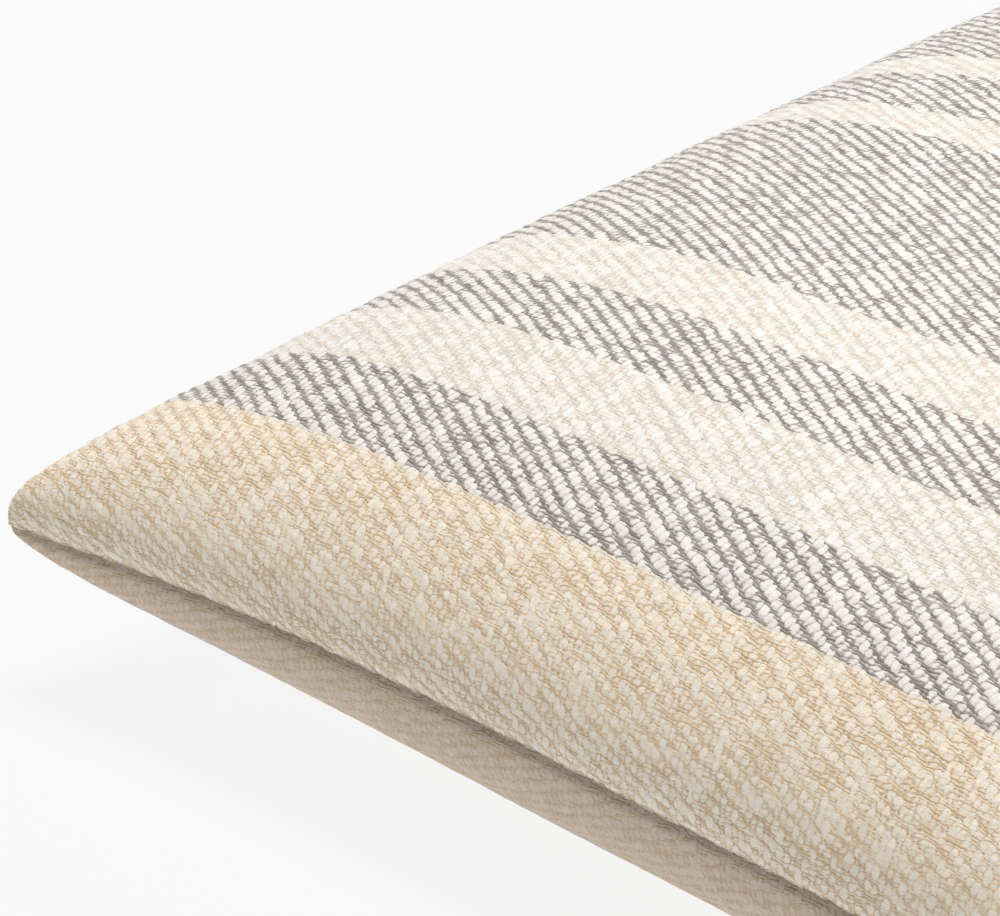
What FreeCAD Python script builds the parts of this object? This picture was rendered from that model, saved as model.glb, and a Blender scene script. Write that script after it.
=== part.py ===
"""Square throw pillow: a striped cover with a concealed zipper round a filled insert.

The pillow lies on its back.  +Z is up, X runs along the stripes, the zipper is in the +Y seam and
the origin is the middle of the flat patch that the pillow rests on.  Lengths are millimetres.
"""
import FreeCAD, Part
import math
import os

V = FreeCAD.Vector

# ---- driving dimensions -------------------------------------------------------------------------
SEAM_HEIGHT = 47.0          # seam plane above the surface that the pillow lies on
CROWN = 61.0                # top of the front panel above the seam plane
BELLY = 51.0                # depth of the back panel below the seam plane, before it lies flat
HALF_MIDDLE = 226.0         # half width at the middle of a side, where the filling pulls it in
HALF_CORNER = 242.0         # half width at the corners, before their tips are rounded
HALF_ZIP = 237.4            # half width on the zipper side, which stays straight
BOW_POWER = 5.0             # how close to the corners the sides bow out
CORNER_TRIM = 0.004         # share by which a corner's tip is rounded off
PROFILE_POWER = 4.9         # how flat the middle of the crown is
PROFILE_ROOT = 0.45         # how steeply the crown rises from the seam
PROFILE_BLEND = 0.3         # how the two directions of the crown join towards a corner

CLOTH = 1.2                 # heavy cotton cover cloth
HEM_DEPTH = 13.0            # inner edge of the seam allowance behind the pillow's edge
STITCH_DEPTH = 2.2          # seam's lock stitch behind the pillow's edge
OVERLOCK = 1.3              # thread wrapped round the raw edges of the allowance
THREAD = 0.5                # sewing thread
GAP = 0.3                   # clearance between loose layers

INSERT_INSET = 16.0         # insert's edge inside the cover's edge
INSERT_CLOTH = 0.4
INSERT_RELIEF = 2.0         # insert's crown below the inside of the cover
LABEL_THICK = 0.5
LABEL_DROP = 9.0

ZIP_HALF = 200.0            # half length of the zipper opening
LIP_HALF = 2.4              # half height of the slot between the cloth lips
CHAIN_DEPTH = 6.5           # face of the zipper tapes behind the edge of the cover
TAPE = 0.5
TAPE_STRAIGHT = 3.5         # tape's upright part, measured from the seam plane
TAPE_SLANT = 6.4            # rise of the part of the tape that leans inwards
COIL_INNER, COIL_OUTER = 0.3, 2.2
COIL_DEEP = 1.8
END_CLEAR = 6.0             # coils stop short of the ends of the opening

STOP_LENGTH = 1.8
STOP_PROUD = 0.9            # stops stand above the coils, where the slider's plate meets them

SLIDER_LENGTH = 9.0
SLIDER_HALF = 3.1
PLATE = 0.8
RUNNING = 0.25              # clearance round the chain
WEB = 0.4                   # thin web between the coil rows that joins the slider's plates
WEB_LENGTH = 2.5
LUG_HALF = 1.1
LUG_LENGTH = 3.8
LUG_TOP = 1.41
PIN_RADIUS = 0.5
PIN_PLAY = 0.08
EYE_RADIUS = 1.1
FORK_REACH = 3.6
PULL_LENGTH = 24.0
PULL_WIDTH = 4.6
PULL_THICK = 1.2

# the zipper is closed: its slider stands against the top stops at +X
STOP_X = ZIP_HALF - END_CLEAR + 1.2
SLIDER_X = STOP_X - STOP_LENGTH / 2 - 0.1 - SLIDER_LENGTH / 2
PIN_X = SLIDER_X + 1.0
PIN_Y = HALF_ZIP + 2.2

GRID = 28                   # spans of the surface net in each direction
PATCHES = 7                 # faces of a crown in each direction

os.makedirs("parts", exist_ok=True)


def save(shape, node):
    """Write one solid, moved from the seam plane to its height above the ground."""
    shape = shape.copy()
    shape.translate(V(0, 0, SEAM_HEIGHT))
    if not shape.isValid() or len(shape.Solids) < 1:
        raise SystemExit(node + " isn't a valid solid")
    shape.exportStep("parts/" + node + ".step")
    box = shape.BoundBox
    print("%-24s %d solid %9.0f mm3  z %6.2f to %6.2f" % (
        node, len(shape.Solids), shape.Volume, box.ZMin, box.ZMax))


def box(x0, x1, y0, y1, z0, z1):
    return Part.makeBox(x1 - x0, y1 - y0, z1 - z0, V(x0, y0, z0))


# ---- pillow surface -----------------------------------------------------------------------------
def plan_point(u, v, inset):
    """Plan position for u, v in -1..1: sides pulled in at the middle, tips of the corners rounded."""
    middle = HALF_MIDDLE - inset
    bow = HALF_CORNER - HALF_MIDDLE
    x = middle * u + bow * u ** 3 * abs(v) ** BOW_POWER
    y = middle * v + (bow * abs(u) ** BOW_POWER if v < 0 else HALF_ZIP - HALF_MIDDLE) * v ** 3
    keep = 1.0 - CORNER_TRIM * (u * v) ** 12
    return x * keep, y * keep


def rise(u):
    return max(1.0 - abs(u) ** PROFILE_POWER, 0.0) ** PROFILE_ROOT


def crown_share(u, v):
    a, b = rise(u), rise(v)
    if min(a, b) < 1e-6:
        return 0.0
    k = PROFILE_BLEND
    return (a ** -k + b ** -k - 1.0) ** (-1.0 / k)


def spread(i):
    """Net parameter, packed towards the seams where the crown is steep."""
    return math.sin(0.5 * math.pi * (2.0 * i / GRID - 1.0))


def crown_faces(height, inset):
    """Faces of one crown of this signed height, bounded by the pillow's outline."""
    net = []
    for i in range(GRID + 1):
        row = []
        for j in range(GRID + 1):
            u, v = spread(i), spread(j)
            x, y = plan_point(u, v, inset)
            row.append(V(x, y, height * crown_share(u, v)))
        net.append(row)
    knots = [float(k) for k in range(GRID - 1)]
    times = [4] + [1] * (GRID - 3) + [4]
    surface = Part.BSplineSurface()
    surface.buildFromPolesMultsKnots(net, times, times, knots, knots, False, False, 3, 3)
    return patches(surface)


def closed_solid(faces):
    shell = Part.makeShell(faces)
    shell.sewShape()
    solid = Part.makeSolid(shell)
    if solid.Volume < 0:
        solid.reverse()
    return solid


def half_solid(height, inset):
    """Solid between the seam plane and a crown."""
    crown = Part.makeShell(crown_faces(height, inset))
    crown.sewShape()
    used = {}
    for face in crown.Faces:
        for edge in face.Edges:
            used.setdefault(edge.hashCode(), []).append(edge)
    border = [edges[0] for edges in used.values() if len(edges) == 1]
    floor = Part.Face(Part.Wire(Part.__sortEdges__(border)))
    return closed_solid(crown.Faces + [floor])


def patches(surface):
    """Faces of the crown, cut along its net so that each one is nearly flat."""
    u_knots, v_knots = surface.getUKnots(), surface.getVKnots()
    u_cuts = [u_knots[round(k * (len(u_knots) - 1) / PATCHES)] for k in range(PATCHES + 1)]
    v_cuts = [v_knots[round(k * (len(v_knots) - 1) / PATCHES)] for k in range(PATCHES + 1)]
    faces = []
    for u0, u1 in zip(u_cuts, u_cuts[1:]):
        for v0, v1 in zip(v_cuts, v_cuts[1:]):
            patch = surface.copy()
            patch.segment(u0, u1, v0, v1)
            faces.append(patch.toShape())
    return faces


def outline_solid(inset, z0, z1):
    """Prism over the pillow's outline."""
    points = []
    for side in range(4):
        for i in range(GRID):
            t = spread(i)
            u, v = ((t, -1.0), (1.0, t), (-t, 1.0), (-1.0, -t))[side]
            x, y = plan_point(u, v, inset)
            points.append(V(x, y, z0))
    wire = Part.makePolygon(points + [points[0]])
    return Part.Face(wire).extrude(V(0, 0, z1 - z0))


def flattened(solid, depth):
    """Trim the belly to the plane that the pillow lies on."""
    return solid.cut(box(-300, 300, -300, 300, -200, -depth))


def zip_slot(half_height, depth):
    return box(-ZIP_HALF - 3, ZIP_HALF + 3, HALF_ZIP - depth, HALF_ZIP + 5, -half_height, half_height)


# ---- cover --------------------------------------------------------------------------------------
def strip_section(points, half_length):
    """Prism along X from (depth behind the cover's edge, height) points."""
    wire = Part.makePolygon([V(-half_length, HALF_ZIP - d, z) for d, z in points + points[:1]])
    return Part.Face(wire).extrude(V(2 * half_length, 0, 0))


def zip_facing(side):
    """The panel's own edge, folded in behind the lip and lying along the zipper tape."""
    level = TAPE_STRAIGHT + 0.15
    knee = CHAIN_DEPTH - 0.2
    thick = CLOTH - 0.1
    run = TAPE_SLANT - 0.4
    points = [(0.9, level), (knee, level), (knee + run, level + run),
              (knee + run - 0.78, level + run + 0.78), (knee - 0.4, level + thick), (0.9, level + thick)]
    return strip_section([(d, side * z) for d, z in points], ZIP_HALF)


def cover_panel(side):
    """Cloth shell whose border is turned in along the seam plane and in along the zipper."""
    height = CROWN if side > 0 else BELLY
    outer = half_solid(side * height, 0.0)
    cavity = half_solid(side * (height - CLOTH), CLOTH + 0.1)
    if side < 0:
        outer = flattened(outer, SEAM_HEIGHT)
        cavity = flattened(cavity, SEAM_HEIGHT - CLOTH)
    z0, z1 = (-1.0, CLOTH) if side > 0 else (-CLOTH, 1.0)
    hem = box(-300, 300, -300, 300, z0, z1).cut(outline_solid(HEM_DEPTH, z0 - 1, z1 + 1))
    cavity = cavity.cut(hem).cut(zip_facing(side))
    return outer.cut(cavity).cut(zip_slot(LIP_HALF, HEM_DEPTH + 3.0)).cut(stitch_ring())


def overlock_edge():
    """Thread that binds the raw edges of the two allowances, open along the zipper."""
    ring = outline_solid(HEM_DEPTH + 0.02, -OVERLOCK, OVERLOCK)
    ring = ring.cut(outline_solid(HEM_DEPTH + OVERLOCK, -5, 5))
    return ring.cut(zip_slot(5.0, HEM_DEPTH + 7.0))


def stitch_ring():
    """Channel of the lock stitch that joins the two allowances."""
    half = THREAD / 2
    return outline_solid(STITCH_DEPTH, -half, half).cut(outline_solid(STITCH_DEPTH + THREAD, -5, 5))


def seam_stitching():
    return stitch_ring().cut(zip_slot(5.0, HEM_DEPTH + 7.0))


# ---- zipper -------------------------------------------------------------------------------------
def zip_tape(side):
    d = CHAIN_DEPTH
    points = [(d, COIL_INNER + 0.2), (d, TAPE_STRAIGHT), (d + TAPE_SLANT, TAPE_STRAIGHT + TAPE_SLANT),
              (d + TAPE_SLANT + 0.35, TAPE_STRAIGHT + TAPE_SLANT - 0.35),
              (d + TAPE, TAPE_STRAIGHT - 0.2), (d + TAPE, COIL_INNER + 0.2)]
    return strip_section([(depth, side * z) for depth, z in points], ZIP_HALF)


def zip_coil(side):
    half = ZIP_HALF - END_CLEAR
    z = sorted((side * COIL_INNER, side * COIL_OUTER))
    y = HALF_ZIP - CHAIN_DEPTH
    return box(-half, half, y + 0.02, y + COIL_DEEP, z[0], z[1])


def zip_stitching(side):
    """Row of thread on the tape's inner face, over the line where it is sewn to the facing."""
    d = CHAIN_DEPTH + TAPE_SLANT - 1.6
    z = TAPE_STRAIGHT + TAPE_SLANT - 1.6
    points = [(d + 0.38, z - 0.38), (d + 0.74, z - 0.02), (d + 0.94, z - 0.22), (d + 0.58, z - 0.58)]
    return strip_section([(depth, side * h) for depth, h in points], ZIP_HALF - 2)


def end_stop(x, z0, z1):
    """Clamp of wire across the outside of the coils."""
    y = HALF_ZIP - CHAIN_DEPTH
    half = STOP_LENGTH / 2
    return box(x - half, x + half, y + 0.02, y + COIL_DEEP + STOP_PROUD, z0, z1)


def slider_body():
    """Two plates round the chain, joined by a thin web, with a lug for the pull's pin."""
    y_tape = HALF_ZIP - CHAIN_DEPTH
    y_front = y_tape + COIL_DEEP + RUNNING
    y_back = y_tape - TAPE - RUNNING
    x0, x1 = SLIDER_X - SLIDER_LENGTH / 2, SLIDER_X + SLIDER_LENGTH / 2
    front = box(x0, x1, y_front, y_front + PLATE, -SLIDER_HALF, SLIDER_HALF)
    back = box(x0, x1, y_back - PLATE, y_back, -SLIDER_HALF, SLIDER_HALF)
    body = front.fuse(back)
    for side in (-1, 1):
        z = sorted((side * (COIL_OUTER + RUNNING), side * SLIDER_HALF))
        body = body.fuse(box(x0, x1, y_tape + RUNNING, y_front + 0.1, z[0], z[1]))
    body = body.fuse(box(x0, x0 + WEB_LENGTH, y_back - 0.1, y_front + 0.1, -WEB / 2, WEB / 2))
    lug = box(PIN_X - LUG_LENGTH / 2, PIN_X + LUG_LENGTH / 2, y_front, PIN_Y + LUG_TOP, -LUG_HALF, LUG_HALF)
    bore = Part.makeCylinder(PIN_RADIUS + PIN_PLAY, 10, V(PIN_X, PIN_Y, -5), V(0, 0, 1))
    return body.fuse(lug).cut(bore).removeSplitter()


def pull_tab():
    """Flat tab with a fork round the lug and a pin through it, lying along the seam."""
    fork_in = LUG_HALF + 0.2
    fork_out = fork_in + 0.8
    half_thick = PULL_THICK / 2
    tab = Part.makeCylinder(PIN_RADIUS, 2 * fork_in + 0.4, V(PIN_X, PIN_Y, -fork_in - 0.2), V(0, 0, 1))
    for side in (-1, 1):
        z = sorted((side * fork_in, side * fork_out))
        eye = Part.makeCylinder(EYE_RADIUS, fork_out - fork_in, V(PIN_X, PIN_Y, z[0]), V(0, 0, 1))
        arm = box(PIN_X, PIN_X + FORK_REACH, PIN_Y - half_thick, PIN_Y + half_thick, z[0], z[1])
        tab = tab.fuse([eye, arm])
    half_width = PULL_WIDTH / 2
    end_x = PIN_X + PULL_LENGTH - half_width
    y0, y1 = PIN_Y - half_thick, PIN_Y + half_thick
    blade = box(PIN_X + FORK_REACH - 0.8, end_x, y0, y1, -half_width, half_width)
    round_end = Part.makeCylinder(half_width, PULL_THICK, V(end_x, y0, 0), V(0, 1, 0))
    return tab.fuse([blade, round_end]).removeSplitter()


# ---- insert -------------------------------------------------------------------------------------
def insert_height(side, extra):
    return side * ((CROWN if side > 0 else BELLY) - CLOTH - INSERT_RELIEF - extra)


def insert_floor(extra):
    return SEAM_HEIGHT - CLOTH - GAP - extra


def insert_shell(side):
    outer = half_solid(insert_height(side, 0.0), INSERT_INSET)
    inner = half_solid(insert_height(side, INSERT_CLOTH), INSERT_INSET + INSERT_CLOTH)
    if side < 0:
        outer = flattened(outer, insert_floor(0.0))
        inner = flattened(inner, insert_floor(INSERT_CLOTH))
    return outer.cut(inner)


def insert_filling():
    extra = INSERT_CLOTH + 0.05
    faces = []
    for side in (1, -1):
        faces += crown_faces(insert_height(side, extra), INSERT_INSET + extra)
    return flattened(closed_solid(faces), insert_floor(extra))


def insert_stitching():
    """Chain stitch that runs round the insert's edge."""
    depth = INSERT_INSET - GAP
    ring = outline_solid(depth - THREAD, -THREAD / 2, THREAD / 2)
    return ring.cut(outline_solid(depth, -5, 5))


def insert_label():
    """Blank fabric tag hanging from the insert's stitching."""
    x = HALF_MIDDLE - INSERT_INSET + GAP + THREAD + 0.05
    return box(x, x + LABEL_THICK, -20, 5, -LABEL_DROP, 0.8)


def care_label():
    """Blank label hanging from the bound edge of the seam allowance."""
    x = -(HALF_MIDDLE - HEM_DEPTH - OVERLOCK) + 0.05
    return box(x, x + LABEL_THICK, -5, 20, -LABEL_DROP, 1.2)


# ---- build --------------------------------------------------------------------------------------
def main():
    save(cover_panel(1), "cover_front_panel")
    save(cover_panel(-1), "cover_back_panel")
    save(overlock_edge(), "seam_overlock")
    save(seam_stitching(), "seam_stitching")
    for side, name in ((1, "front"), (-1, "back")):
        save(zip_tape(side), "zipper_tape_" + name)
        save(zip_coil(side), "zipper_coil_" + name)
        save(zip_stitching(side), "zipper_stitching_" + name)
        z = sorted((side * COIL_INNER, side * COIL_OUTER))
        save(end_stop(STOP_X, z[0], z[1]), "zipper_top_stop_" + name)
        save(insert_shell(side), "insert_shell_" + name)
    save(end_stop(-STOP_X, -COIL_OUTER, COIL_OUTER), "zipper_bottom_stop")
    save(slider_body(), "zipper_slider")
    save(pull_tab(), "zipper_pull")
    save(insert_filling(), "insert_filling")
    save(insert_stitching(), "insert_stitching")
    save(insert_label(), "insert_label")
    save(care_label(), "care_label")


main()
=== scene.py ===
"""Throw pillow in striped slub cotton, lying flat, seen close up over one corner.

The cover is two woven panels joined by a knife-edge seam, with a concealed zipper on the +Y side.
Lengths are millimetres unless a name says otherwise, and meshes are scaled to metres when made.
Cloth coordinates run over the flat cover: s along the stripes and t across them, 0 to FLAT.
"""
import bmesh
import bpy
import math
import numpy as np
from mathutils import Matrix, Vector


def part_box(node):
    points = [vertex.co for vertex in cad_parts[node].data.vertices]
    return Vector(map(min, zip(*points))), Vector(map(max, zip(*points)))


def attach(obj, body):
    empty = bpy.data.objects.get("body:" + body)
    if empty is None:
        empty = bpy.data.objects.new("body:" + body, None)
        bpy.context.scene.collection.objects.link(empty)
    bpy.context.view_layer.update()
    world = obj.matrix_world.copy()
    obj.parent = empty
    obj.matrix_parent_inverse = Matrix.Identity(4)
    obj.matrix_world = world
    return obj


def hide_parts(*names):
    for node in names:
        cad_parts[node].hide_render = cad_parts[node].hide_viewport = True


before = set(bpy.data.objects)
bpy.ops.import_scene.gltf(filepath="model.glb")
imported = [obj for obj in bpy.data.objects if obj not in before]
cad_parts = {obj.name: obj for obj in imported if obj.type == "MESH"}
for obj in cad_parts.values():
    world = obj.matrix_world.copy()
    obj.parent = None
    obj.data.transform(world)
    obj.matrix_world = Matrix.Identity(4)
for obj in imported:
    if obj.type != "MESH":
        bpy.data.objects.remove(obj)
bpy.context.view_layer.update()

MM = 0.001

# ---- pillow -------------------------------------------------------------------------------------
FLAT = 508.0                # side of the finished cover laid flat
SEAM_Z = 47.0               # seam plane above the floor
HALF_MIDDLE = 226.0         # half width at the middle of a side
BOW = 15.8                  # how much further out the corners stand
BOW_POWER = 5.1             # how close to the corners the sides bow out
HALF_ZIP = 237.4            # half width on the zipper side, which stays straight
CROWN = 57.5                # rise of the front panel above the seam
DOME = 4.2                  # extra rise of its middle
BELLY = 52.3                # drop of the back panel below the seam, before the floor stops it
FLOOR_ROUNDING = 6.0        # height over which the back panel bends onto the floor
PROFILE_POWER = 4.83        # how flat the middle of the crown is
PROFILE_ROOT = 0.445        # how steeply the crown rises from the seam
PROFILE_BLEND = 0.3         # how the two directions of the crown join towards a corner
CORNER_TRIM = 0.0135        # share by which a corner's tip is rounded off
TRIM_POWER = 19             # how close to the tip the rounding stays
CORNER_PUFF = 3.6           # extra rise of the front panel in the corners
LIP = 2.4                   # half height of the zipper opening
LIP_POWER = 60              # how close to the edge the lips bend apart
SLOT_END = 203.0            # half length of the zipper opening
SLOT_EASE = 5.0             # length over which the lips close at its ends
HEM = 13.0                  # depth of the turned-in seam allowance
LIP_HANG = 1.4              # how far the front lip hangs below the seam plane
HANG_REACH = 5.0            # height over which the cloth beside it sinks with it
FRONT_CREASE = 0.5          # how far the front panel is drawn in at the seam
CREASE_DEPTH = 1.9          # the same for the back panel
CREASE_REACH = 2.1          # height over which both roll out from the crease
CREASE_POWER = 40           # how close to the edge the drawing in stays
# width and height of the unevenness of the surfaces
BROAD_LUMP, NARROW_LUMP = (38.0, 0.50), (17.0, 0.35)    # filling under the cover
NUB = (2.7, 0.28)                                       # slub yarn
PUCKER = (9.0, 0.25)                                    # insert's cloth
TUFT = (7.0, 0.9)                                       # fibre

# widths of the front panel's stripes, cream and grey by turns, from one edge to the grey one that
# lies across the middle; the other half mirrors them
STRIPES = (46.3, 22.4, 23.9, 23.7, 22.6, 86.7, 14.9, 27.2)

# ---- weave --------------------------------------------------------------------------------------
WARP_PITCH = 0.95           # fine ends along the stripes
WEFT_PITCH = 1.713          # thick slub picks across them
BORDER = STRIPES[0]         # width of the plain cream border
FUZZ = (1.35, 0.9)          # how raggedly the outline of a yarn runs, along s and t
WANDER = (1.8, 1.2)         # how far picks and ends stray from their lines, along s and t
LEAN = (0.16, 0.23)         # how far a float leans towards the twill line, along s and t
END_DEPTH = 0.75            # roundness of an end
STRIPE_BLUR = 1.5           # half width of the change from border to inner cream


# ---- mesh helpers -------------------------------------------------------------------------------
def smoothstep(x):
    """Eased step from 0 at 0 to 1 at 1."""
    x = np.clip(x, 0.0, 1.0)
    return x * x * (3.0 - 2.0 * x)


def value_noise(x, y, seed):
    """Smooth noise in -1..1 at unit spacing."""
    period = 257
    table = np.random.default_rng(seed).uniform(-1, 1, (period, period))
    xi, yi = np.floor(x).astype(int), np.floor(y).astype(int)
    fx, fy = smoothstep(x - xi), smoothstep(y - yi)
    x0, x1, y0, y1 = xi % period, (xi + 1) % period, yi % period, (yi + 1) % period
    a, b, c, d = table[x0, y0], table[x1, y0], table[x0, y1], table[x1, y1]
    return (a * (1 - fx) + b * fx) * (1 - fy) + (c * (1 - fx) + d * fx) * fy


def unevenness(x, y, measures, seed):
    width, height = measures
    return height * value_noise(x / width, y / width, seed)


def grid_faces(rows, columns, flip):
    """Quads over a grid of points stored row by row."""
    i, j = np.meshgrid(np.arange(rows - 1), np.arange(columns - 1), indexing="ij")
    a = (i * columns + j).ravel()
    quads = np.stack([a, a + columns, a + columns + 1, a + 1], 1)
    return quads[:, ::-1] if flip else quads


def make_mesh(name, points, faces, uv=None):
    """Object from points in millimetres, faces, and cloth coordinates of the points."""
    mesh = bpy.data.meshes.new(name)
    mesh.from_pydata((np.asarray(points) * MM).tolist(), [], np.asarray(faces).tolist())
    if uv is not None:
        layer = mesh.uv_layers.new(name="cloth")
        index = np.empty(len(mesh.loops), dtype=np.int32)
        mesh.loops.foreach_get("vertex_index", index)
        layer.data.foreach_set("uv", np.asarray(uv)[index].astype(np.float32).ravel())
    mesh.polygons.foreach_set("use_smooth", np.ones(len(mesh.polygons), dtype=bool))
    mesh.update()
    obj = bpy.data.objects.new(name, mesh)
    bpy.context.scene.collection.objects.link(obj)
    return obj


# ---- panels -------------------------------------------------------------------------------------
def rise(u):
    """Share of the crown's height along one direction, 0 at the seams."""
    return np.clip(1.0 - np.abs(u) ** PROFILE_POWER, 1e-7, 1.0) ** PROFILE_ROOT


def slot_share(x):
    """1 along the zipper opening, 0 where the zipper side is sewn shut."""
    return smoothstep((SLOT_END - np.abs(x)) / SLOT_EASE)


def panel_surface(side, net):
    """Points of one panel over u, v in -1..1, from the seam to the crown or belly."""
    u, v = np.meshgrid(net, net, indexing="ij")
    a, b = rise(u), rise(v)
    share = (a ** -PROFILE_BLEND + b ** -PROFILE_BLEND - 1.0) ** (-1.0 / PROFILE_BLEND)
    share[(np.abs(u) == 1) | (np.abs(v) == 1)] = 0.0
    x = HALF_MIDDLE * u + BOW * u ** 3 * np.abs(v) ** BOW_POWER
    near = BOW * v ** 3 * np.abs(u) ** BOW_POWER
    y = HALF_MIDDLE * v + np.where(v < 0, near, (HALF_ZIP - HALF_MIDDLE) * v ** 3)
    keep = 1.0 - CORNER_TRIM * np.abs(u * v) ** TRIM_POWER
    x, y = x * keep, y * keep
    if side > 0:
        z = CROWN * share + DOME * (1 - u * u) * (1 - v * v)
        # the filling is pushed well into the corners
        corner_gap = 2.0 - np.abs(u) - np.abs(v)
        z = z + CORNER_PUFF * (1 - np.exp(-share / 0.04)) * np.exp(-corner_gap / 0.10)
    else:
        # the belly would go through the floor, so it flattens out against it
        drop, free = BELLY * share, SEAM_Z - FLOOR_ROUNDING
        over = np.clip(drop - free, 0.0, None)
        z = -(np.minimum(drop, free) + FLOOR_ROUNDING * (1 - np.exp(-over / 4.0)))
    # the lips of the zipper opening stand apart
    lip = LIP * slot_share(x) * np.where(v > 0, np.abs(v) ** LIP_POWER, 0.0)
    z = np.sign(side) * np.sqrt(z * z + lip * lip)
    # the front lip hangs a little over the back panel, which is drawn in under it, less at the corners
    corner = 1.0 - 0.75 * np.abs(u * v) ** 24
    depth = np.where(v > 0.5, CREASE_DEPTH * 0.5, FRONT_CREASE if side > 0 else CREASE_DEPTH) * corner
    crease = depth * np.exp(-(z / CREASE_REACH) ** 2)
    edge_u, edge_v = np.abs(u) ** CREASE_POWER, np.abs(v) ** CREASE_POWER
    x = x - np.sign(u) * crease * edge_u
    y = y - np.sign(v) * crease * edge_v
    hang = LIP_HANG * (1.0 - smoothstep((v - 0.8) / 0.2)) * np.exp(-np.abs(z) / HANG_REACH)
    return np.stack([x, y, z - hang + SEAM_Z], -1)


def cloth_coordinates(points):
    """Arc length along both net directions, evened out so that the edges are at 0 and FLAT."""
    def along(axis):
        step = np.linalg.norm(np.diff(points, axis=axis), axis=2)
        total = np.cumsum(step, axis=axis)
        zero = np.zeros_like(np.take(total, [0], axis=axis))
        total = np.concatenate([zero, total], axis=axis)
        middle = total.shape[axis] // 2
        half = np.take(total, [middle], axis=axis)
        end = np.take(total, [-1], axis=axis)
        first = total / half * (FLAT / 2)
        second = FLAT - (end - total) / (end - half) * (FLAT / 2)
        return np.where(total <= half, first, second)
    return along(0), along(1)


def seam_spread(count):
    """Net parameter from -1 to 1, packed towards the seams."""
    net = np.sin(0.5 * np.pi * np.linspace(-1.0, 1.0, 2 * count + 1))
    net[0], net[-1] = -1.0, 1.0
    return net


def panel(name, side, count):
    """One panel of the cover with its hem; side is 1 for the front and -1 for the back."""
    net = seam_spread(count)
    points = panel_surface(side, net)
    s, t = cloth_coordinates(points)
    size = len(net)
    # soft unevenness of the filling and small nubs of the slub yarn
    lump = unevenness(s, t, BROAD_LUMP, 3 + side) + unevenness(s, t, NARROW_LUMP, 8 + side)
    inner = smoothstep(np.minimum(np.minimum(s, FLAT - s), np.minimum(t, FLAT - t)) / 25.0)
    points[..., 2] += side * lump * inner * (1.0 if side > 0 else 0.4)
    points[..., 2] += unevenness(s, t, NUB, 15 + side) * (1.0 if side > 0 else 0.5)
    shell = points.reshape(-1, 3)
    cloth = np.stack([s, t], -1).reshape(-1, 2)
    faces = grid_faces(size, size, side < 0)
    hem_points, hem_cloth, hem_faces = hem(side, size, shell, cloth)
    obj = make_mesh(name, np.vstack([shell, hem_points]), np.vstack([faces, hem_faces]),
                    np.vstack([cloth, hem_cloth]))
    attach(obj, "pillow")
    return obj


def hem(side, size, shell, cloth):
    """Rows of cloth turned in all round, flat along the seams and opened out beside the zipper."""
    count = np.arange(size - 1)
    ring = np.concatenate([count * size, (size - 1) * size + count,
                           (size - 1 - count) * size + size - 1, size - 1 - count])
    edge, flat = shell[ring], cloth[ring]
    # each row's depth behind the edge and height over the seam plane
    sewn = ((1.5, 0.35), (5.0, 0.70), (9.0, 0.75), (HEM, 0.75))
    opened = ((1.6, 3.4), (2.8, 3.75), (6.4, 3.9), (12.0, 9.6))
    # a row turns the corner within this length
    turn = 16.0
    reach = np.abs(edge[:, :2]).max(axis=0)
    on_edge = (flat < 1e-6) | (flat > FLAT - 1e-6)
    share = np.where(edge[:, 1] > HALF_MIDDLE, slot_share(edge[:, 0]), 0.0)
    points, cloths, rows = [], [], [ring]
    for k, ((d0, z0), (d1, z1)) in enumerate(zip(sewn, opened)):
        depth = d0 + (d1 - d0) * share
        level = z0 + (z1 - z0) * share
        plan = edge[:, :2].copy()
        for axis in (0, 1):
            room = np.abs(edge[:, axis]) - (reach[axis] - turn - depth)
            near = np.clip(room / turn, 0.0, 1.0)
            plan[:, axis] -= np.sign(edge[:, axis]) * depth * near
        points.append(np.column_stack([plan, SEAM_Z + side * level]))
        cloths.append(flat + np.sign(flat - FLAT / 2) * on_edge * d0)
        rows.append(len(shell) + k * len(ring) + np.arange(len(ring)))
    faces = []
    for outer, inner in zip(rows[:-1], rows[1:]):
        quads = np.stack([outer, inner, np.roll(inner, -1), np.roll(outer, -1)], 1)
        faces.append(quads if side > 0 else quads[:, ::-1])
    return np.vstack(points), np.vstack(cloths), np.vstack(faces)


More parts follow.
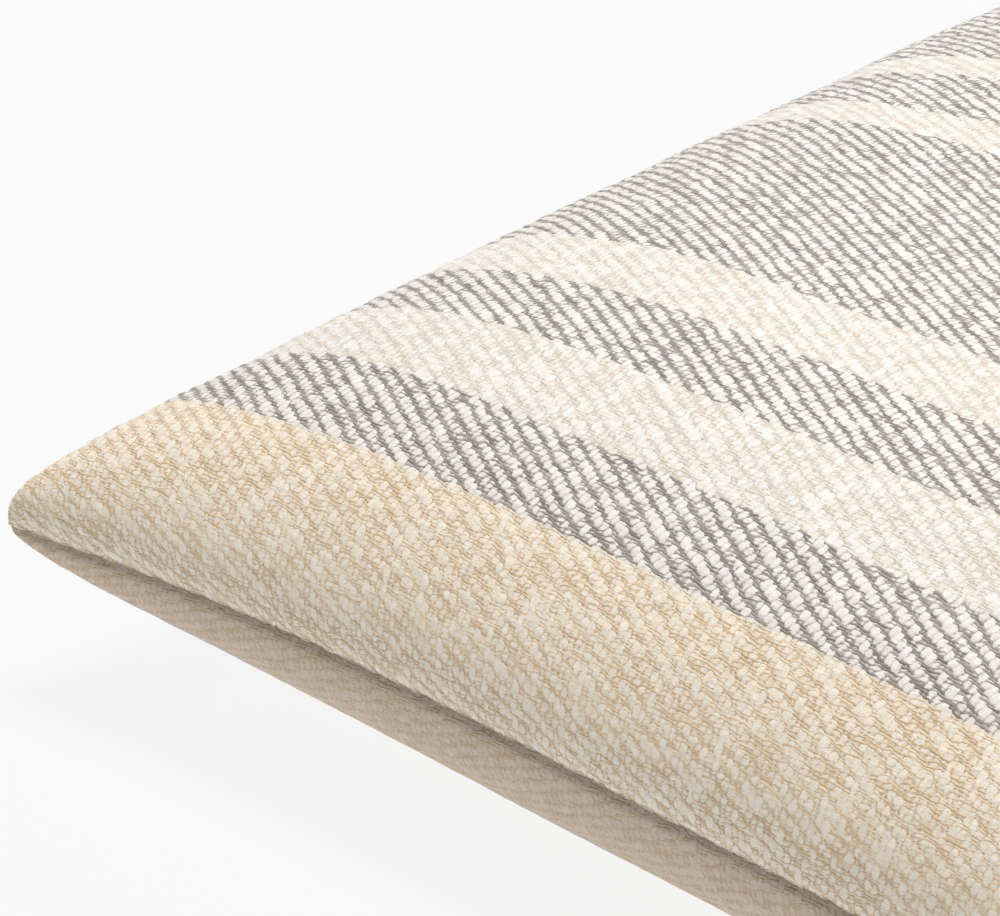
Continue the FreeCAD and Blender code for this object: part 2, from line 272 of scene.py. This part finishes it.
# ---- node helpers -------------------------------------------------------------------------------
class Field:
    """A socket that arithmetic is written with."""

    def __init__(self, tree, socket):
        self.tree, self.socket = tree, socket

    def _math(self, operation, *others, swap=False):
        node = self.tree.nodes.new("ShaderNodeMath")
        node.operation = operation
        values = [self, *others]
        if swap:
            values.reverse()
        for slot, value in zip(node.inputs, values):
            if isinstance(value, Field):
                self.tree.links.new(value.socket, slot)
            else:
                slot.default_value = value
        return Field(self.tree, node.outputs[0])

    def __add__(self, other): return self._math("ADD", other)
    def __radd__(self, other): return self._math("ADD", other)
    def __sub__(self, other): return self._math("SUBTRACT", other)
    def __rsub__(self, other): return self._math("SUBTRACT", other, swap=True)
    def __mul__(self, other): return self._math("MULTIPLY", other)
    def __rmul__(self, other): return self._math("MULTIPLY", other)
    def __truediv__(self, other): return self._math("DIVIDE", other)
    def floor(self): return self._math("FLOOR")
    def cos(self): return self._math("COSINE")
    def sin(self): return self._math("SINE")
    def sqrt(self): return self._math("SQRT")
    def abs(self): return self._math("ABSOLUTE")
    def min(self, other): return self._math("MINIMUM", other)
    def max(self, other): return self._math("MAXIMUM", other)

    def clamp(self):
        kept = self._math("ADD", 0.0)
        kept.socket.node.use_clamp = True
        return kept

    def ramp(self, low, high, to_low=0.0, to_high=1.0):
        """Eased change from to_low at low to to_high at high."""
        node = self.tree.nodes.new("ShaderNodeMapRange")
        node.interpolation_type = "SMOOTHSTEP"
        self.tree.links.new(self.socket, node.inputs["Value"])
        node.inputs["From Min"].default_value = low
        node.inputs["From Max"].default_value = high
        node.inputs["To Min"].default_value = to_low
        node.inputs["To Max"].default_value = to_high
        return Field(self.tree, node.outputs["Result"])


def combine(tree, x, y, z=0.0):
    node = tree.nodes.new("ShaderNodeCombineXYZ")
    for slot, value in zip(node.inputs, (x, y, z)):
        if isinstance(value, Field):
            tree.links.new(value.socket, slot)
        else:
            slot.default_value = value
    return node.outputs[0]


def noise(tree, vector, scale, detail=1.0, rough=0.5):
    """Smooth noise in 0..1 about 0.5."""
    node = tree.nodes.new("ShaderNodeTexNoise")
    tree.links.new(vector, node.inputs["Vector"])
    node.inputs["Scale"].default_value = scale
    node.inputs["Detail"].default_value = detail
    node.inputs["Roughness"].default_value = rough
    return Field(tree, node.outputs["Fac"])


def white(tree, vector):
    """Random value in 0..1 of each point."""
    node = tree.nodes.new("ShaderNodeTexWhiteNoise")
    tree.links.new(vector, node.inputs["Vector"])
    return Field(tree, node.outputs["Value"])


def mix_colour(tree, factor, a, b, mode="MIX"):
    node = tree.nodes.new("ShaderNodeMix")
    node.data_type, node.blend_type = "RGBA", mode
    for slot, value in ((node.inputs[0], factor), (node.inputs[6], a), (node.inputs[7], b)):
        if isinstance(value, Field):
            tree.links.new(value.socket, slot)
        elif isinstance(value, bpy.types.NodeSocket):
            tree.links.new(value, slot)
        else:
            slot.default_value = value
    return node.outputs[2]


def srgb(red, green, blue):
    """Linear colour of an sRGB one in 0..255."""
    def linear(c):
        c /= 255.0
        return c / 12.92 if c <= 0.04045 else ((c + 0.055) / 1.055) ** 2.4
    return (linear(red), linear(green), linear(blue), 1.0)


def new_material(name):
    material = bpy.data.materials.new(name)
    material.use_nodes = True
    tree = material.node_tree
    shader = tree.nodes["Principled BSDF"]
    return material, tree, shader


def add_relief(tree, shader, relief, strength, depth):
    """Bump from relief; depth is in metres."""
    bump = tree.nodes.new("ShaderNodeBump")
    bump.inputs["Strength"].default_value = strength
    bump.inputs["Distance"].default_value = depth
    tree.links.new(relief.socket, bump.inputs["Height"])
    tree.links.new(bump.outputs[0], shader.inputs["Normal"])


# ---- cloth --------------------------------------------------------------------------------------
IVORY, PALE = srgb(247, 245, 243), srgb(243, 238, 229)          # picks
TAN, TAN_LIGHT = srgb(229, 207, 177), srgb(250, 239, 220)       # cream ends
GREY, GREY_LIGHT = srgb(151, 141, 136), srgb(196, 187, 181)     # grey ends
NOOK_SHADE, GAP_GREY_SHADE = srgb(226, 218, 208), srgb(192, 184, 178)       # painted shade on the flanks of picks, in cream and grey
VALLEY_SHADE = srgb(200, 170, 132)                                    # painted shade in the hollows of the weave
HUSK = srgb(150, 118, 84)                                       # specks of seed husk


def cell(tree, a, b, seed):
    """A random number from 0 to 1 for each pair of whole numbers."""
    return white(tree, combine(tree, a + 0.5, b + 0.5, float(seed)))


def stripe_mask(tree, t):
    """1 on the grey stripes, 0 on the cream ones."""
    fold = t.min(FLAT - t) / (FLAT / 2)
    ramp = tree.nodes.new("ShaderNodeValToRGB")
    ramp.color_ramp.interpolation = "CONSTANT"
    stops = ramp.color_ramp.elements
    stops.remove(stops[1])
    stops[0].position, stops[0].color = 0.0, (0, 0, 0, 1)
    edge = 0.0
    for k, width in enumerate(STRIPES[:-1]):
        edge += width
        level = float(k % 2 == 0)
        stops.new(edge / (FLAT / 2)).color = (level, level, level, 1)
    tree.links.new(fold.socket, ramp.inputs[0])
    return Field(tree, ramp.outputs[0])


def slub_twill(name, striped, painted_light_tint, relief_strength):
    """2/2 twill: fine ends along s, thick uneven ivory picks along t. The last colour tints the plain
    cream parts with painted light and shade.
    """
    material, tree, shader = new_material(name)
    uv = tree.nodes.new("ShaderNodeUVMap")
    uv.uv_map = "cloth"
    split = tree.nodes.new("ShaderNodeSeparateXYZ")
    tree.links.new(uv.outputs[0], split.inputs[0])
    s0, t0 = Field(tree, split.outputs[0]), Field(tree, split.outputs[1])

    # the yarns wander, and their surface is fuzzy
    s = s0 + (noise(tree, combine(tree, s0, t0, 4.0), 0.2, 2.0) - 0.5) * WANDER[0]
    t = t0 + (noise(tree, combine(tree, s0, t0, 9.0), 0.2, 2.0) - 0.5) * WANDER[1]
    s = s + (noise(tree, combine(tree, s0, t0, 14.0), 0.75, 2.0, 0.6) - 0.5) * FUZZ[0]
    t = t + (noise(tree, combine(tree, s0, t0, 19.0), 0.75, 2.0, 0.6) - 0.5) * FUZZ[1]

    # floats lean towards the twill line
    phase = (s / WEFT_PITCH + t / WARP_PITCH - 1.5) * (math.pi / 2)
    sway = phase.sin()
    s = s - sway * LEAN[0]
    t = t - sway * LEAN[1]

    across, along = t / WARP_PITCH, s / WEFT_PITCH
    end, pick = across.floor(), along.floor()
    grey = stripe_mask(tree, (end + 0.5) * WARP_PITCH) if striped else 0.0
    # the grey ends lie in clear twill lines, while the soft cream ones sink among the picks
    swing = grey * 0.28 + 0.11

    # picks: each float is a soft blob of its own size, with thick and thin places
    step = across + pick - 1.0
    blob = ((step + 2.0) / 4.0).floor()
    size = cell(tree, pick, blob, 1)
    slub = noise(tree, combine(tree, t0 * 0.3, pick * 7.31, 2.0), 1.0, 1.5).ramp(0.46, 0.72)
    wave = (step * (math.pi / 2)).cos()
    radius = (size * size * 0.80 - grey * 0.04 + slub * 0.50 + wave * 0.34 + 0.40).max(0.2)
    q = (along - pick - 0.5) * WEFT_PITCH / radius
    swell = slub * 0.55 + size * size * (grey * 0.25 + 0.40) + grey * 0.05 + 0.22
    weft = wave * swing * (size * 0.7 + 0.60) + (1.0 - q * q).max(0.0).sqrt() * swell
    # mask for the painted shade on a pick's flanks
    nook_shade = (q * q * q).abs().min(1.0)

    # ends: short slanting dashes over two picks
    step = along + end - 1.0
    dash = (step / 4.0).floor()
    chance = cell(tree, end, dash, 2)
    lift = cell(tree, end, dash, 4)
    wave = (step * (math.pi / 2)).cos()
    thin = chance * 0.10 + grey * 0.08 - wave * 0.05 + 0.20
    q = ((across - end - 0.5) * WARP_PITCH + (chance - 0.5) * 0.24) / thin
    warp = (1.0 - q * q).max(0.0).sqrt() * END_DEPTH - wave * swing * 1.1
    warp = warp + grey * ((q * q).min(1.8) * -0.22 + 0.22)

    rough = noise(tree, combine(tree, s0, t0, 1.0), 1.9, 3.0, 0.7)
    coarse = noise(tree, combine(tree, s0, t0, 31.0), 0.55, 2.0, 0.6)
    warp = warp + (coarse - 0.5) * 1.2 + (lift - 0.5) * (grey * 0.35 + 0.35)
    on_top = (warp - weft).ramp(-0.24, 0.24)
    height = warp.max(weft)

    # painted light and shade: the plain borders on the sloping sides are a warmer cream, as painted warm
    # shade, and the cream stripes between them on the lit crown get paler ends and weaker painted shade
    border = 1.0
    if striped:
        border = t0.min(FLAT - t0).ramp(BORDER - STRIPE_BLUR, BORDER + STRIPE_BLUR, 1.0, 0.0)
    yarn = cell(tree, end, dash, 6)
    light_end = mix_colour(tree, yarn, TAN, TAN_LIGHT)
    if striped:
        dark_end = mix_colour(tree, (yarn * 0.8 + rough * 0.5 - 0.15).clamp(), GREY, GREY_LIGHT)
        # painted highlight: between the borders the cream ends are paled towards ivory
        light_end = mix_colour(tree, border * -0.45 + 0.45, light_end, IVORY)
        light_end = mix_colour(tree, grey, light_end, dark_end)
    else:
        light_end = mix_colour(tree, 0.35, light_end, PALE)
    picks = mix_colour(tree, (cell(tree, pick, blob, 7) * 0.7 + grey * 0.25).clamp(), IVORY, PALE)
    # painted shade: the flanks of the picks and the hollows of the weave are darkened
    gap = mix_colour(tree, grey, NOOK_SHADE, GAP_GREY_SHADE) if striped else NOOK_SHADE
    picks = mix_colour(tree, nook_shade * (rough.ramp(0.3, 0.7) * 0.7 + 0.3), picks, gap)
    colour = mix_colour(tree, on_top, picks, light_end)
    # painted shade: the lower the yarn surface, the more its colour is darkened towards the hollow colour
    valley_shade = height.ramp(-0.30, 0.42, 1.0, 0.0) * rough.ramp(0.42, 0.60, 0.25, 1.0)
    valley_shade = valley_shade * (1.0 - grey * 0.3) * (border * 0.35 + 0.65) if striped else valley_shade * 0.8
    colour = mix_colour(tree, valley_shade, colour, mix_colour(tree, 1.0, colour, VALLEY_SHADE, "MULTIPLY"))
    grain = rough.ramp(0.25, 0.75, 0.92, 1.03) - (coarse - 0.5) * 0.22
    colour = mix_colour(tree, 1.0, colour, combine(tree, grain, grain, grain), "MULTIPLY")
    # painted light and shade: the tint multiplies the borders, or the whole cloth where it has no stripes
    colour = mix_colour(tree, border, colour, mix_colour(tree, 1.0, colour, painted_light_tint, "MULTIPLY"))
    # a few specks of husk
    speck = noise(tree, combine(tree, s0, t0, 12.0), 0.75, 2.0).ramp(0.78, 0.80)
    colour = mix_colour(tree, speck * 0.5, colour, HUSK)
    tree.links.new(colour, shader.inputs["Base Color"])

    add_relief(tree, shader, height * 0.55 + rough * 0.35 + coarse * 0.3, relief_strength, 0.001)
    shader.inputs["Roughness"].default_value = 0.9
    shader.inputs["Specular IOR Level"].default_value = 0.15
    shader.inputs["Sheen Weight"].default_value = 0.2
    shader.inputs["Sheen Roughness"].default_value = 0.5
    return material


# ---- build --------------------------------------------------------------------------------------
COUNT = 180       # spans of a panel's net from its middle to a seam
INSERT_COUNT = 60
# tints of painted light and shade: a warm one for the front's borders; a dark warm one for the back, which
# is painted shade of the underside and partly also a warmer cloth
front_cloth = slub_twill("striped_slub_twill", True, (1.05, 0.985, 0.885, 1.0), 0.8)
back_cloth = slub_twill("cream_slub_twill", False, (0.69, 0.60, 0.515, 1.0), 0.5)

front = panel("front_panel", 1, COUNT)
front.data.materials.append(front_cloth)
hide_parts("cover_front_panel")

back = panel("back_panel", -1, COUNT)
back.data.materials.append(back_cloth)
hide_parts("cover_back_panel")

# ---- insert -------------------------------------------------------------------------------------
INSERT_SCALE = (HALF_MIDDLE - 16.0) / HALF_MIDDLE
INSERT_DROP = 3.4           # insert's surface below the cover's
FILLING_EASE = 1.2          # filling's surface inside the insert's


def insert_surface(side, count, ease):
    """The cover's surface drawn in: an inner pillow, smaller by ease all round."""
    net = seam_spread(count)
    points = panel_surface(side, net)
    y, height = points[..., 1], np.abs(points[..., 2] - SEAM_Z)
    points[..., 1] = np.where(y > 0, y * HALF_MIDDLE / HALF_ZIP, y)
    points[..., :2] *= INSERT_SCALE - ease / HALF_MIDDLE
    height = np.maximum(height - INSERT_DROP - ease, 0.0) * 0.985
    height[[0, -1], :] = 0.0
    height[:, [0, -1]] = 0.0
    points[..., 2] = SEAM_Z + side * height
    return points, len(net)


def insert_half(name, side):
    """One cloth half of the insert, slightly puckered."""
    points, size = insert_surface(side, INSERT_COUNT, 0.0)
    x, y = points[..., 0], points[..., 1]
    pucker = np.abs(unevenness(x, y, PUCKER, 41 + side))
    points[..., 2] -= side * pucker * (np.abs(points[..., 2] - SEAM_Z) > 2.0)
    s, t = cloth_coordinates(points)
    obj = make_mesh(name, points.reshape(-1, 3), grid_faces(size, size, side < 0),
                    np.stack([s, t], -1).reshape(-1, 2))
    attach(obj, "pillow")
    return obj


def filling_mesh(name):
    """Closed pad of fibre with a lumpy surface."""
    parts, faces, start = [], [], 0
    for side in (1, -1):
        points, size = insert_surface(side, INSERT_COUNT, FILLING_EASE)
        x, y = points[..., 0], points[..., 1]
        tuft = np.abs(unevenness(x, y, TUFT, 51 + side))
        points[..., 2] -= side * tuft * (np.abs(points[..., 2] - SEAM_Z) > 3.0)
        parts.append(points.reshape(-1, 3))
        faces.append(grid_faces(size, size, side < 0) + start)
        start += size * size
    obj = make_mesh(name, np.vstack(parts), np.vstack(faces))
    join_seam(obj)
    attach(obj, "pillow")
    return obj


def join_seam(obj):
    """Merge the points that both halves have on the seam."""
    work = bmesh.new()
    work.from_mesh(obj.data)
    bmesh.ops.remove_doubles(work, verts=work.verts, dist=0.00005)
    work.to_mesh(obj.data)
    work.free()


# ---- threads ------------------------------------------------------------------------------------
def tube(path, radius, sides, closed=False):
    """Points and faces of a round thread along a path in millimetres."""
    path = np.asarray(path, dtype=float)
    ahead = np.roll(path, -1, 0) - np.roll(path, 1, 0)
    if not closed:
        ahead[0], ahead[-1] = path[1] - path[0], path[-1] - path[-2]
    ahead /= np.linalg.norm(ahead, axis=1)[:, None]
    up = np.where(np.abs(ahead[:, 2:3]) > 0.9, [[1.0, 0, 0]], [[0, 0, 1.0]])
    side = np.cross(ahead, up)
    side /= np.linalg.norm(side, axis=1)[:, None]
    up = np.cross(side, ahead)
    turn = np.linspace(0, 2 * np.pi, sides, endpoint=False)
    radius = np.broadcast_to(radius, len(path))[:, None, None]
    ring = np.cos(turn)[None, :, None] * side[:, None] + np.sin(turn)[None, :, None] * up[:, None]
    points = (path[:, None] + radius * ring).reshape(-1, 3)
    i = np.arange(len(path) if closed else len(path) - 1)
    j = np.arange(sides)
    a = (i[:, None] * sides + j[None]).ravel()
    b = (i[:, None] * sides + (j[None] + 1) % sides).ravel()
    c = ((i[:, None] + 1) % len(path) * sides + (j[None] + 1) % sides).ravel()
    d = ((i[:, None] + 1) % len(path) * sides + j[None]).ravel()
    return points, np.stack([a, b, c, d], 1)


def join_parts(parts):
    """One set of points and faces from several."""
    points, faces, start = [], [], 0
    for p, f in parts:
        points.append(p)
        faces.append(f + start)
        start += len(p)
    return np.vstack(points), np.vstack(faces)


def stitch_row(name, path, pitch, radius, dip):
    """Lockstitches along a path: each one rises over the cloth and dives at both ends."""
    path = np.asarray(path, dtype=float)
    run = np.concatenate([[0], np.cumsum(np.linalg.norm(np.diff(path, axis=0), axis=1))])
    count = int(run[-1] / pitch)
    parts = []
    for k in range(count):
        where = (k + np.linspace(0.08, 0.92, 5)) * run[-1] / count
        line = np.column_stack([np.interp(where, run, path[:, c]) for c in range(3)])
        line += np.outer(np.array([-1.0, -0.25, 0.0, -0.25, -1.0]), dip)
        thick = radius * np.array([0.55, 0.95, 1.0, 0.95, 0.55])
        parts.append(tube(line, thick, 6))
    obj = make_mesh(name, *join_parts(parts))
    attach(obj, "pillow")
    return obj


def outline(depth, scale=1.0):
    """Loop inside the edge of the cover by depth, or of the insert where scale isn't 1."""
    w = np.linspace(-1, 1, 181)
    one = np.ones_like(w)
    u = np.concatenate([w, one, -w, -one])
    v = np.concatenate([-one, w, one, -w])
    x = HALF_MIDDLE * u + BOW * u ** 3 * np.abs(v) ** BOW_POWER
    near = BOW * v ** 3 * np.abs(u) ** BOW_POWER
    far = near if scale != 1.0 else (HALF_ZIP - HALF_MIDDLE) * v ** 3
    y = HALF_MIDDLE * v + np.where(v < 0, near, far)
    x = x * scale - np.sign(u) * depth * np.abs(u) ** 8
    y = y * scale - np.sign(v) * depth * np.abs(v) ** 8
    return np.column_stack([x, y, np.full_like(x, SEAM_Z)])


# ---- zipper -------------------------------------------------------------------------------------
CHAIN_DEPTH = 6.5           # outer face of the tapes behind the cover's edge
CHAIN_Y = HALF_ZIP - CHAIN_DEPTH
TAPE_STRAIGHT = 3.5         # height of the tape's upright part above the seam plane
TAPE_SLANT = 6.4            # rise of the part that leans inwards
COIL_HALF = 194.0           # half length of the coils
COIL_PITCH = 1.2
COIL_RADII = (0.62, 0.66)   # of a loop, across the tape's face and along it
COIL_WIRE = 0.26
COIL_CENTRE = (0.95, 1.25)  # of the loops, outside the tape and above the seam plane


def coil(name, side):
    """Nylon coil: flattened loops, half a pitch apart on the two tapes."""
    per_turn, margin = 12, 0.3
    turns = int(2 * COIL_HALF / COIL_PITCH)
    angle = np.arange(turns * per_turn + 1) / per_turn * 2 * np.pi
    x = -COIL_HALF + margin + (angle / (2 * np.pi) + (0.5 if side < 0 else 0.0)) * COIL_PITCH * 0.998
    y = CHAIN_Y + COIL_CENTRE[0] + COIL_RADII[0] * np.sin(angle)
    z = SEAM_Z + side * (COIL_CENTRE[1] + COIL_RADII[1] * np.cos(angle))
    keep = x < COIL_HALF - margin
    obj = make_mesh(name, *tube(np.column_stack([x, y, z])[keep], COIL_WIRE, 5))
    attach(obj, "pillow")
    return obj


# ---- plain materials ----------------------------------------------------------------------------
def object_field(tree):
    """Object coordinates, as a vector in metres and as x, y, z in millimetres."""
    node = tree.nodes.new("ShaderNodeTexCoord")
    split = tree.nodes.new("ShaderNodeSeparateXYZ")
    tree.links.new(node.outputs["Object"], split.inputs[0])
    return node.outputs["Object"], [Field(tree, split.outputs[k]) * 1000.0 for k in range(3)]


def finish_fabric(tree, shader, colour, relief, depth, rough=0.85, sheen=0.2):
    tree.links.new(colour, shader.inputs["Base Color"])
    add_relief(tree, shader, relief, 0.7, depth)
    shader.inputs["Roughness"].default_value = rough
    shader.inputs["Specular IOR Level"].default_value = 0.2
    shader.inputs["Sheen Weight"].default_value = sheen


def woven(name, light, dark, pitch, slant):
    """Fine tight cloth: two yarn sets in x and y+z, with a slant for twill and tape."""
    material, tree, shader = new_material(name)
    vector, (x, y, z) = object_field(tree)
    across = (y + z * 1.37) / pitch
    along = x / pitch
    ribs = ((along + across * slant) * (2 * math.pi)).cos() * 0.5 + 0.5
    cross = (across * (2 * math.pi)).cos() * 0.5 + 0.5
    mottle = noise(tree, vector, 160.0, 3.0, 0.6)
    relief = ribs * 0.6 + cross * 0.4 + mottle * 0.3
    colour = mix_colour(tree, (ribs * 0.55 + cross * 0.2 + mottle * 0.4).clamp(), dark, light)
    finish_fabric(tree, shader, colour, relief, pitch * 0.0003)
    return material


def thread_material(name, light, dark):
    material, tree, shader = new_material(name)
    vector, (x, y, z) = object_field(tree)
    twist = ((x + y + z * 2.0) * (2 * math.pi / 0.45)).cos() * 0.5 + 0.5
    fuzz = noise(tree, vector, 2600.0, 3.0, 0.7)
    colour = mix_colour(tree, (twist * 0.5 + fuzz * 0.6).clamp(), dark, light)
    finish_fabric(tree, shader, colour, twist + fuzz * 0.4, 0.00012, 0.6)
    return material


def fibre_material(name, light, dark):
    material, tree, shader = new_material(name)
    vector, (x, y, z) = object_field(tree)
    warp = noise(tree, vector, 60.0, 2.0)
    strands = noise(tree, combine(tree, x * 0.5 + warp * 9.0, y * 2.2, z * 1.5), 1.3, 4.0, 0.7)
    clumps = noise(tree, vector, 110.0, 3.0)
    colour = mix_colour(tree, (strands * 0.7 + clumps * 0.5 - 0.1).clamp(), dark, light)
    finish_fabric(tree, shader, colour, strands + clumps, 0.0009, 0.9, 0.3)
    return material


def metal_material(name, light, dark):
    """Cast zinc with a satin plating, rubbed along x."""
    material, tree, shader = new_material(name)
    vector, (x, y, z) = object_field(tree)
    rub = noise(tree, combine(tree, x * 0.6, y * 7.0, z * 7.0), 1.0, 3.0, 0.6)
    cloud = noise(tree, vector, 420.0, 2.0)
    colour = mix_colour(tree, (rub * 0.6 + cloud * 0.4).clamp(), dark, light)
    tree.links.new(colour, shader.inputs["Base Color"])
    rough = rub.ramp(0.2, 0.8, 0.26, 0.42)
    tree.links.new(rough.socket, shader.inputs["Roughness"])
    shader.inputs["Metallic"].default_value = 1.0
    add_relief(tree, shader, rub + cloud * 0.5, 0.25, 0.00005)
    return material


def nylon_material(name, light, dark):
    material, tree, shader = new_material(name)
    vector, _ = object_field(tree)
    cloud = noise(tree, vector, 900.0, 3.0)
    tree.links.new(mix_colour(tree, cloud, dark, light), shader.inputs["Base Color"])
    rough = cloud.ramp(0.3, 0.7, 0.32, 0.48)
    tree.links.new(rough.socket, shader.inputs["Roughness"])
    shader.inputs["Specular IOR Level"].default_value = 0.45
    return material


percale = woven("insert_percale", srgb(246, 245, 241), srgb(222, 220, 214), 0.55, 0.0)
tape_cloth = woven("zipper_tape_twill", srgb(228, 217, 198), srgb(186, 172, 148), 0.70, 1.0)
ribbon = woven("label_satin", srgb(250, 248, 243), srgb(228, 224, 216), 0.30, 0.5)
sewing = thread_material("cotton_thread", srgb(240, 231, 214), srgb(196, 181, 156))
binding = thread_material("overlock_thread", srgb(236, 228, 212), srgb(182, 168, 145))
batting = fibre_material("polyester_fibre", srgb(252, 252, 250), srgb(214, 214, 210))
zinc = metal_material("zinc_plate", srgb(214, 210, 202), srgb(150, 146, 139))
nylon = nylon_material("coil_nylon", srgb(232, 222, 203), srgb(205, 192, 168))

for half_name, side, shell_node in (("insert_front_half", 1, "insert_shell_front"),
                                    ("insert_back_half", -1, "insert_shell_back")):
    piece = insert_half(half_name, side)
    piece.data.materials.append(percale)
    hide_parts(shell_node)

pad = filling_mesh("fibre_filling")
pad.data.materials.append(batting)
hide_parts("insert_filling")

up = np.array([0.0, 0.0, 1.0])
STITCH_BACK = 1.6           # tape stitches' distance from the tape's inner edge
stitches = stitch_row("seam_stitches", outline(CREASE_DEPTH + 1.6), pitch=3.0, radius=0.28,
                      dip=up * 0.45)
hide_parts("seam_stitching")
inner = stitch_row("insert_stitches", outline(-0.6, INSERT_SCALE), pitch=3.4, radius=0.26,
                   dip=up * 0.4)
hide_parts("insert_stitching")
for row_name, side, node in (("tape_stitches_front", 1, "zipper_stitching_front"),
                             ("tape_stitches_back", -1, "zipper_stitching_back")):
    depth = CHAIN_DEPTH + TAPE_SLANT - STITCH_BACK + 0.66
    height = TAPE_STRAIGHT + TAPE_SLANT - STITCH_BACK - 0.30
    line = np.array([(x, HALF_ZIP - depth, SEAM_Z + side * height) for x in np.linspace(-198, 198, 41)])
    row = stitch_row(row_name, line, pitch=2.8, radius=0.24, dip=np.array([0.0, 0.3, side * 0.3]))
    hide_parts(node)
    row.data.materials.append(sewing)
for row in (stitches, inner):
    row.data.materials.append(sewing)

for coil_name, side, node in (("coil_loops_front", 1, "zipper_coil_front"),
                              ("coil_loops_back", -1, "zipper_coil_back")):
    loops = coil(coil_name, side)
    loops.data.materials.append(nylon)
    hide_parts(node)


def tag(name, node):
    """Blank ribbon tag, folded once at its foot and slightly curled."""
    low, high = (np.array(c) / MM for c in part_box(node))
    x = (low[0] + high[0]) / 2
    rows, columns = 13, 15
    v, w = np.meshgrid(np.linspace(0, 1, rows), np.linspace(0, 1, columns), indexing="ij")
    points = []
    for face in (-1, 1):
        bend = 0.12 * np.sin(np.pi * v) * np.cos(2 * np.pi * w)
        gap = face * (0.06 + 0.05 * np.sin(np.pi * v))
        y = low[1] + (high[1] - low[1]) * w
        z = high[2] - (high[2] - low[2]) * v
        points.append(np.stack([x + bend + gap, y, z], -1))
    faces = [grid_faces(rows, columns, True), grid_faces(rows, columns, False) + rows * columns]
    rim = np.concatenate([np.arange(columns), np.arange(1, rows) * columns + columns - 1,
                          (rows - 1) * columns + np.arange(columns - 2, -1, -1),
                          np.arange(rows - 2, 0, -1) * columns])
    other = rim + rows * columns
    faces.append(np.stack([rim, np.roll(rim, -1), np.roll(other, -1), other], 1))
    obj = make_mesh(name, np.concatenate([p.reshape(-1, 3) for p in points]), np.vstack(faces))
    obj.data.materials.append(ribbon)
    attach(obj, "pillow")
    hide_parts(node)


tag("insert_tag", "insert_label")
tag("care_tag", "care_label")

# CAD pieces that keep their own shape
KEPT = {
    "seam_overlock": binding,
    "zipper_tape_front": tape_cloth, "zipper_tape_back": tape_cloth,
    "zipper_top_stop_front": zinc, "zipper_top_stop_back": zinc, "zipper_bottom_stop": zinc,
    "zipper_slider": zinc, "zipper_pull": zinc,
}
for node, finish in KEPT.items():
    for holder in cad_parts[node].material_slots:
        holder.material = finish

# ---- floor, light and camera --------------------------------------------------------------------
scene = bpy.context.scene
scene.view_settings.view_transform = "Standard"


# a white studio floor that glows evenly, with soft shadows left on it
FLOOR_HALF, FLOOR_LEVEL = 6000.0, -0.3
FLOOR_GREY, FLOOR_GLOW = 0.05, 0.872
floor_white, _, shader = new_material("floor_white")
shader.inputs["Base Color"].default_value = (FLOOR_GREY, FLOOR_GREY, FLOOR_GREY, 1.0)
shader.inputs["Roughness"].default_value = 0.9
shader.inputs["Emission Color"].default_value = (1.0, 1.0, 1.0, 1.0)
shader.inputs["Emission Strength"].default_value = FLOOR_GLOW
corners = [(x * FLOOR_HALF, y * FLOOR_HALF, FLOOR_LEVEL) for x, y in ((-1, -1), (1, -1), (1, 1), (-1, 1))]
floor = make_mesh("floor", corners, [(0, 1, 2, 3)])
floor.data.materials.append(floor_white)

# the sky is as pale as the floor near the horizon and dims overhead, so the lamps give the shape
SKY, SKY_TOP = 0.92, 0.02
world = bpy.data.worlds.new("studio")
scene.world = world
world.use_nodes = True
sky = world.node_tree
place = sky.nodes.new("ShaderNodeTexCoord")
split = sky.nodes.new("ShaderNodeSeparateXYZ")
sky.links.new(place.outputs["Generated"], split.inputs[0])
level = Field(sky, split.outputs[2]).ramp(0.22, 0.5, SKY, SKY_TOP)
sky.links.new(level.socket, sky.nodes["Background"].inputs[1])
sky.nodes["Background"].inputs[0].default_value = (1.0, 1.0, 1.0, 1.0)


def area_light(name, place, aim, size, power, colour):
    """Round lamp; places and size in millimetres, power in watts."""
    lamp = bpy.data.lights.new(name, "AREA")
    lamp.shape, lamp.size = "DISK", size * MM
    lamp.energy, lamp.color = power, colour
    obj = bpy.data.objects.new(name, lamp)
    obj.location = Vector(place) * MM
    direction = (Vector(aim) - Vector(place)).normalized()
    obj.rotation_mode = "QUATERNION"
    obj.rotation_quaternion = direction.to_track_quat("-Z", "Y")
    scene.collection.objects.link(obj)


LAMPS = (
    ("lamp_top", (0, 0, 1700), 560, 26.3, (1.0, 0.965, 0.93)),
    ("lamp_back", (-300, 1300, 1300), 600, 6.5, (0.85, 0.94, 1.0)),
    ("lamp_left", (-1500, 0, 1100), 700, 3.0, (0.9, 0.97, 1.0)),
)
for lamp_name, spot, size, power, colour in LAMPS:
    area_light(lamp_name, spot, (0, 0, 50), size, power, colour)

# camera: three-quarter view over the near corner, from the front right
AZIMUTH, ELEVATION = math.radians(43.12), math.radians(28.80)
LENS, SENSOR = 135.27, 36.0
CORNER = Vector((-236.6, -236.6, SEAM_Z))   # tip of the corner in the view
DISTANCE = 860.3            # from the eye to the corner, along the view
right = Vector((math.cos(AZIMUTH), math.sin(AZIMUTH), 0.0))
ahead = Vector((-math.sin(AZIMUTH) * math.cos(ELEVATION), math.cos(AZIMUTH) * math.cos(ELEVATION),
                -math.sin(ELEVATION)))
upward = right.cross(ahead)
# the corner stands at the left edge of the view, a little under its middle
view_x, view_y = -0.1279, -0.01628
eye = CORNER - (right * view_x + upward * view_y + ahead) * DISTANCE
data = bpy.data.cameras.new("camera")
data.sensor_width, data.lens = SENSOR, LENS
data.clip_start, data.clip_end = 0.05, 50.0
camera = bpy.data.objects.new("camera", data)
turn = Matrix((right, upward, -ahead)).transposed()
camera.matrix_world = Matrix.Translation(eye * MM) @ turn.to_4x4()
scene.collection.objects.link(camera)
scene.camera = camera
